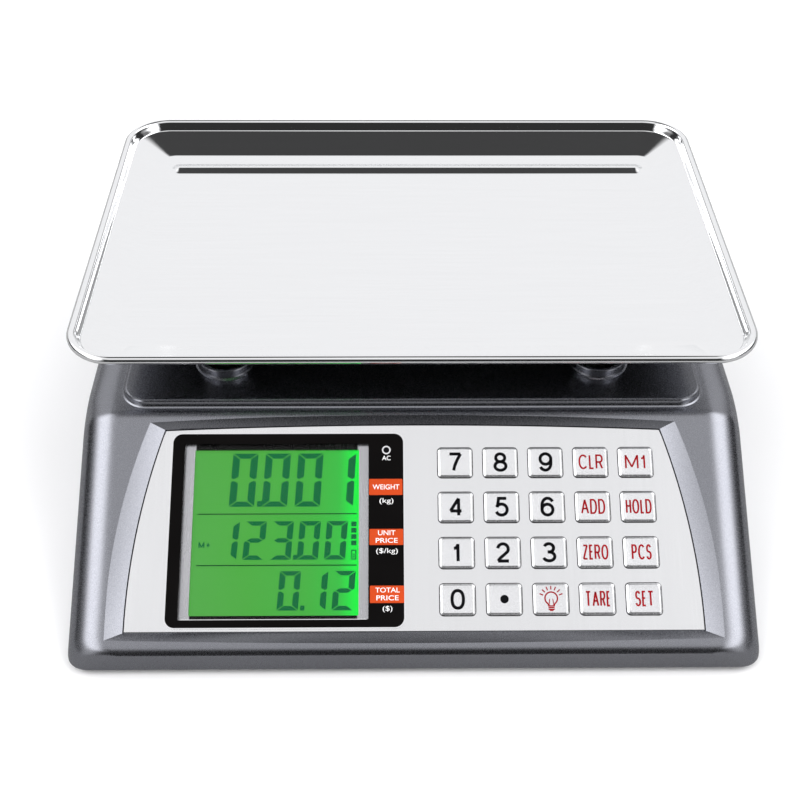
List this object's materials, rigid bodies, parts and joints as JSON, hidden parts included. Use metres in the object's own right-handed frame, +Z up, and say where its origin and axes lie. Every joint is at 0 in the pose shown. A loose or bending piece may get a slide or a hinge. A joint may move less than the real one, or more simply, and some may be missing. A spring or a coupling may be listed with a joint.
{
  "type": "retail price scale",
  "caption": "Counter-top retail price scale with a lift-off steel weighing tray, sloped keypad panel, green segment display, customer display and levelling feet.",
  "frame": {"origin": "on the table under the middle of the footprint", "axes": "+X to the operator's right, +Y away from the operator towards the customer, +Z up"},
  "size_m": [0.34, 0.332, 0.1095],
  "materials": {
    "backlight_green": "translucent",
    "base_plastic": "fine texture",
    "base_plate_steel": "satin",
    "battery_case": "moulded",
    "bezel_black": "gloss",
    "board_green": "lacquered",
    "bolt_steel": "zinc plated",
    "cable_grey": "satin",
    "cast_alloy": "cast",
    "cell_alloy": "milled",
    "cup_rubber": "satin",
    "foot_rubber": "matte",
    "frame_silver": "bright",
    "housing_silver": "pearlescent silver grey",
    "key_silver": "satin silver",
    "lamp_ring": "clear lamp",
    "lcd_green": "lit green",
    "lead_red": "satin",
    "level_vial": "clear",
    "mat_silicone": "matte",
    "plate_steel": "brushed",
    "rear_lcd_green": "lit green",
    "rocker_black": "gloss",
    "transformer_iron": "lacquered",
    "tray_steel": "polished",
    "window_clear": "clear"
  },
  "bodies": {
    "root": {"load_cell": "cell_alloy", "load_cell_base": "base_plate_steel", "fixed_end_bolts": "bolt_steel", "overload_stops": "bolt_steel", "top_housing": "housing_silver", "base_housing": "base_plastic", "face_plate": "plate_steel", "display_bezel": "bezel_black", "display_window": "window_clear", "lcd_frame": "frame_silver", "front_lcd": "lcd_green", "backlight": "backlight_green", "ac_indicator": "lamp_ring", "keypad_mat": "mat_silicone", "keypad_pcb": "board_green", "main_pcb": "board_green", "transformer": "transformer_iron", "battery": "battery_case", "rear_bezel": "bezel_black", "rear_lcd": "rear_lcd_green", "switch_housing": "bezel_black", "power_inlet": "bezel_black", "bubble_level": "level_vial", "housing_screws": "bolt_steel", "load_cell_cable": "cable_grey", "battery_leads": "lead_red"},
    "weighing_frame": {"spider_bracket": "cast_alloy", "tray_cups": "cup_rubber", "free_end_bolts": "bolt_steel"},
    "tray": {"weighing_tray": "tray_steel"},
    "key_7_body": {"key_7": "key_silver"},
    "key_8_body": {"key_8": "key_silver"},
    "key_9_body": {"key_9": "key_silver"},
    "key_clr_body": {"key_clr": "key_silver"},
    "key_m1_body": {"key_m1": "key_silver"},
    "key_4_body": {"key_4": "key_silver"},
    "key_5_body": {"key_5": "key_silver"},
    "key_6_body": {"key_6": "key_silver"},
    "key_add_body": {"key_add": "key_silver"},
    "key_hold_body": {"key_hold": "key_silver"},
    "key_1_body": {"key_1": "key_silver"},
    "key_2_body": {"key_2": "key_silver"},
    "key_3_body": {"key_3": "key_silver"},
    "key_zero_body": {"key_zero": "key_silver"},
    "key_pcs_body": {"key_pcs": "key_silver"},
    "key_0_body": {"key_0": "key_silver"},
    "key_dot_body": {"key_dot": "key_silver"},
    "key_light_body": {"key_light": "key_silver"},
    "key_tare_body": {"key_tare": "key_silver"},
    "key_set_body": {"key_set": "key_silver"},
    "foot_front_left": {"foot_pad_front_left": "foot_rubber"},
    "stud_front_left": {"foot_stud_front_left": "bolt_steel"},
    "foot_front_right": {"foot_pad_front_right": "foot_rubber"},
    "stud_front_right": {"foot_stud_front_right": "bolt_steel"},
    "foot_rear_left": {"foot_pad_rear_left": "foot_rubber"},
    "stud_rear_left": {"foot_stud_rear_left": "bolt_steel"},
    "foot_rear_right": {"foot_pad_rear_right": "foot_rubber"},
    "stud_rear_right": {"foot_stud_rear_right": "bolt_steel"},
    "battery_door_body": {"battery_door": "base_plastic"},
    "rocker_body": {"power_rocker": "rocker_black"}
  },
  "joints": [
    {"name": "weighing_deflection", "type": "slide", "parent": "root", "child": "weighing_frame", "axis": [0, 0, -1], "range_m": [0, 0.0006], "stiffness_N_per_m": 200000, "springref_m": -0.0001, "deforming": ["load_cell"]},
    {"name": "tray_lift_off", "type": "slide", "parent": "weighing_frame", "child": "tray", "axis": [0, 0, 1], "range_m": [0, 0.06]},
    {"name": "key_7_press", "type": "slide", "parent": "root", "child": "key_7_body", "axis": [0, 0.5141, -0.8577], "range_m": [0, 0.001], "stiffness_N_per_m": 300, "springref_m": -0.0002},
    {"name": "key_8_press", "type": "slide", "parent": "root", "child": "key_8_body", "axis": [0, 0.5141, -0.8577], "range_m": [0, 0.001], "stiffness_N_per_m": 300, "springref_m": -0.0002},
    {"name": "key_9_press", "type": "slide", "parent": "root", "child": "key_9_body", "axis": [0, 0.5141, -0.8577], "range_m": [0, 0.001], "stiffness_N_per_m": 300, "springref_m": -0.0002},
    {"name": "key_clr_press", "type": "slide", "parent": "root", "child": "key_clr_body", "axis": [0, 0.5141, -0.8577], "range_m": [0, 0.001], "stiffness_N_per_m": 300, "springref_m": -0.0002},
    {"name": "key_m1_press", "type": "slide", "parent": "root", "child": "key_m1_body", "axis": [0, 0.5141, -0.8577], "range_m": [0, 0.001], "stiffness_N_per_m": 300, "springref_m": -0.0002},
    {"name": "key_4_press", "type": "slide", "parent": "root", "child": "key_4_body", "axis": [0, 0.5141, -0.8577], "range_m": [0, 0.001], "stiffness_N_per_m": 300, "springref_m": -0.0002},
    {"name": "key_5_press", "type": "slide", "parent": "root", "child": "key_5_body", "axis": [0, 0.5141, -0.8577], "range_m": [0, 0.001], "stiffness_N_per_m": 300, "springref_m": -0.0002},
    {"name": "key_6_press", "type": "slide", "parent": "root", "child": "key_6_body", "axis": [0, 0.5141, -0.8577], "range_m": [0, 0.001], "stiffness_N_per_m": 300, "springref_m": -0.0002},
    {"name": "key_add_press", "type": "slide", "parent": "root", "child": "key_add_body", "axis": [0, 0.5141, -0.8577], "range_m": [0, 0.001], "stiffness_N_per_m": 300, "springref_m": -0.0002},
    {"name": "key_hold_press", "type": "slide", "parent": "root", "child": "key_hold_body", "axis": [0, 0.5141, -0.8577], "range_m": [0, 0.001], "stiffness_N_per_m": 300, "springref_m": -0.0002},
    {"name": "key_1_press", "type": "slide", "parent": "root", "child": "key_1_body", "axis": [0, 0.5141, -0.8577], "range_m": [0, 0.001], "stiffness_N_per_m": 300, "springref_m": -0.0002},
    {"name": "key_2_press", "type": "slide", "parent": "root", "child": "key_2_body", "axis": [0, 0.5141, -0.8577], "range_m": [0, 0.001], "stiffness_N_per_m": 300, "springref_m": -0.0002},
    {"name": "key_3_press", "type": "slide", "parent": "root", "child": "key_3_body", "axis": [0, 0.5141, -0.8577], "range_m": [0, 0.001], "stiffness_N_per_m": 300, "springref_m": -0.0002},
    {"name": "key_zero_press", "type": "slide", "parent": "root", "child": "key_zero_body", "axis": [0, 0.5141, -0.8577], "range_m": [0, 0.001], "stiffness_N_per_m": 300, "springref_m": -0.0002},
    {"name": "key_pcs_press", "type": "slide", "parent": "root", "child": "key_pcs_body", "axis": [0, 0.5141, -0.8577], "range_m": [0, 0.001], "stiffness_N_per_m": 300, "springref_m": -0.0002},
    {"name": "key_0_press", "type": "slide", "parent": "root", "child": "key_0_body", "axis": [0, 0.5141, -0.8577], "range_m": [0, 0.001], "stiffness_N_per_m": 300, "springref_m": -0.0002},
    {"name": "key_dot_press", "type": "slide", "parent": "root", "child": "key_dot_body", "axis": [0, 0.5141, -0.8577], "range_m": [0, 0.001], "stiffness_N_per_m": 300, "springref_m": -0.0002},
    {"name": "key_light_press", "type": "slide", "parent": "root", "child": "key_light_body", "axis": [0, 0.5141, -0.8577], "range_m": [0, 0.001], "stiffness_N_per_m": 300, "springref_m": -0.0002},
    {"name": "key_tare_press", "type": "slide", "parent": "root", "child": "key_tare_body", "axis": [0, 0.5141, -0.8577], "range_m": [0, 0.001], "stiffness_N_per_m": 300, "springref_m": -0.0002},
    {"name": "key_set_press", "type": "slide", "parent": "root", "child": "key_set_body", "axis": [0, 0.5141, -0.8577], "range_m": [0, 0.001], "stiffness_N_per_m": 300, "springref_m": -0.0002},
    {"name": "foot_front_left_extend", "type": "slide", "parent": "root", "child": "foot_front_left", "axis": [0, 0, -1], "range_m": [0, 0.006]},
    {"name": "foot_front_left_screw", "type": "hinge", "parent": "foot_front_left", "child": "stud_front_left", "pos_m": [-0.138, -0.134, 0.003], "axis": [0, 0, -1], "range_deg": [0, 1700]},
    {"name": "foot_front_right_extend", "type": "slide", "parent": "root", "child": "foot_front_right", "axis": [0, 0, -1], "range_m": [0, 0.006]},
    {"name": "foot_front_right_screw", "type": "hinge", "parent": "foot_front_right", "child": "stud_front_right", "pos_m": [0.138, -0.134, 0.003], "axis": [0, 0, -1], "range_deg": [0, 1700]},
    {"name": "foot_rear_left_extend", "type": "slide", "parent": "root", "child": "foot_rear_left", "axis": [0, 0, -1], "range_m": [0, 0.006]},
    {"name": "foot_rear_left_screw", "type": "hinge", "parent": "foot_rear_left", "child": "stud_rear_left", "pos_m": [-0.138, 0.138, 0.003], "axis": [0, 0, -1], "range_deg": [0, 1700]},
    {"name": "foot_rear_right_extend", "type": "slide", "parent": "root", "child": "foot_rear_right", "axis": [0, 0, -1], "range_m": [0, 0.006]},
    {"name": "foot_rear_right_screw", "type": "hinge", "parent": "foot_rear_right", "child": "stud_rear_right", "pos_m": [0.138, 0.138, 0.003], "axis": [0, 0, -1], "range_deg": [0, 1700]},
    {"name": "battery_door_hinge", "type": "hinge", "parent": "root", "child": "battery_door_body", "pos_m": [-0.107, 0, 0.0064], "axis": [0, -1, 0], "range_deg": [0, 95]},
    {"name": "power_rocker_tilt", "type": "hinge", "parent": "root", "child": "rocker_body", "pos_m": [0.118, 0.1614, 0.026], "axis": [-1, 0, 0], "range_deg": [0, 20]}
  ],
  "couplings": [
    {"joint": "foot_front_left_extend", "follows": "foot_front_left_screw", "m_per_rad": 0.00019894},
    {"joint": "foot_front_right_extend", "follows": "foot_front_right_screw", "m_per_rad": 0.00019894},
    {"joint": "foot_rear_left_extend", "follows": "foot_rear_left_screw", "m_per_rad": 0.00019894},
    {"joint": "foot_rear_right_extend", "follows": "foot_rear_right_screw", "m_per_rad": 0.00019894}
  ]
}
